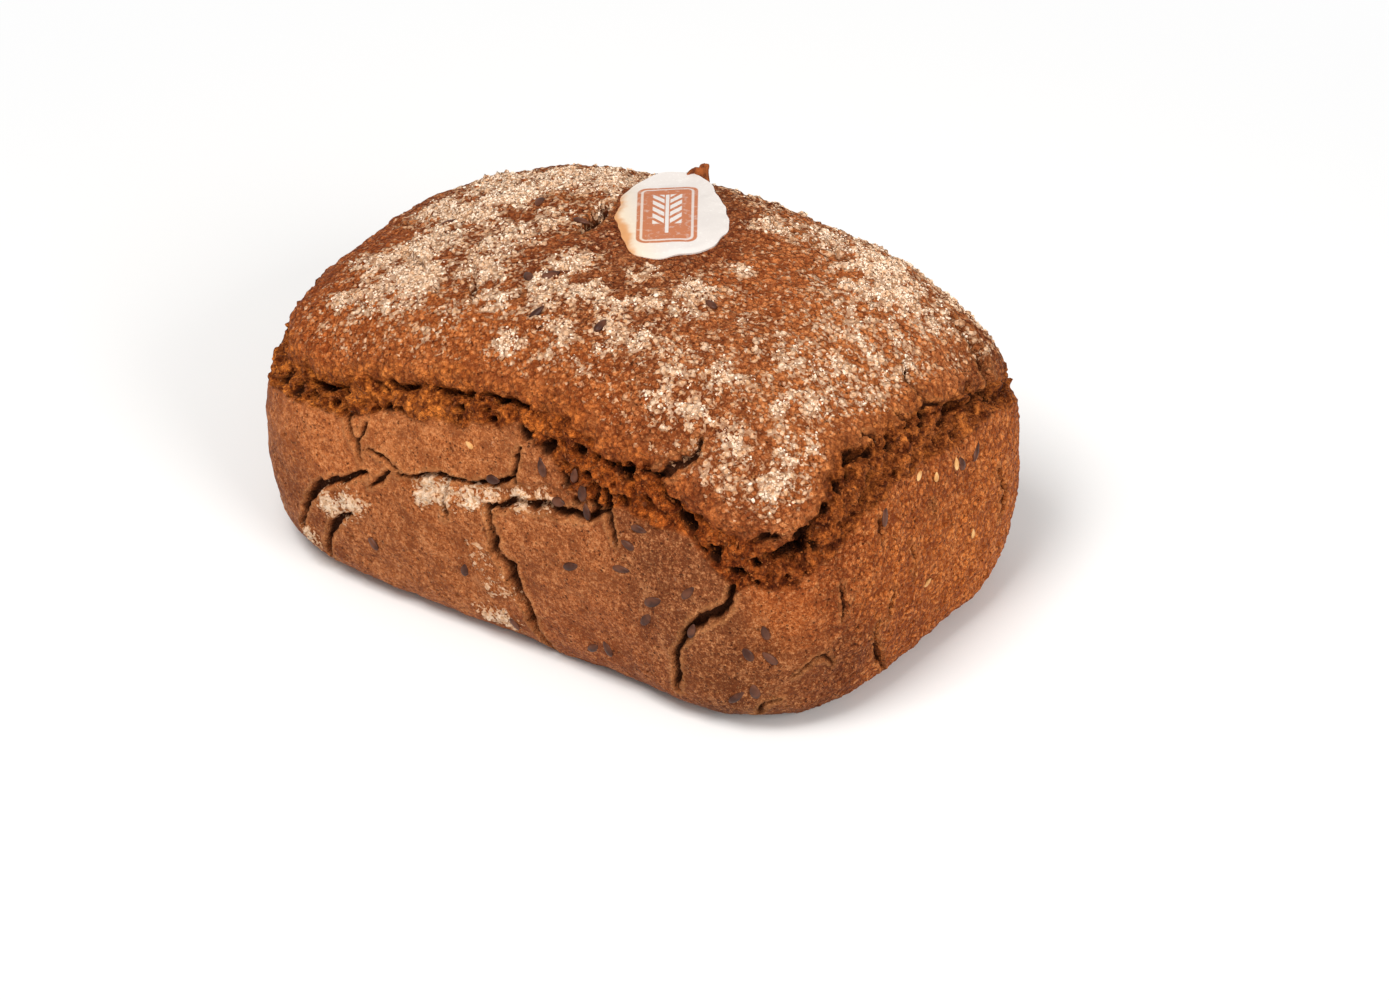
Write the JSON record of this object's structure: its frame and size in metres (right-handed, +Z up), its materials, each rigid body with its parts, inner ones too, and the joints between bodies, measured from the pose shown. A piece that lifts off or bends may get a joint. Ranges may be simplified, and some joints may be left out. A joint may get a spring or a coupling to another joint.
{
  "type": "rye bread loaf",
  "caption": "Whole tin-baked rye bread loaf with upright cracked walls, a flour-dusted dome above a torn shoulder, and a baked-on wafer tag.",
  "frame": {"origin": "centre of the loaf's box, on the surface that it stands on", "axes": "+X along the loaf's length, +Y across it, +Z up"},
  "size_m": [0.164, 0.1106, 0.0821],
  "materials": {
    "crust": "rough browned rye crust, matt, flour dusted",
    "wafer": "matt rice-paper wafer, toasted at one edge"
  },
  "bodies": {
    "root": {"loaf": "crust", "wafer_tag": "wafer"}
  },
  "joints": []
}
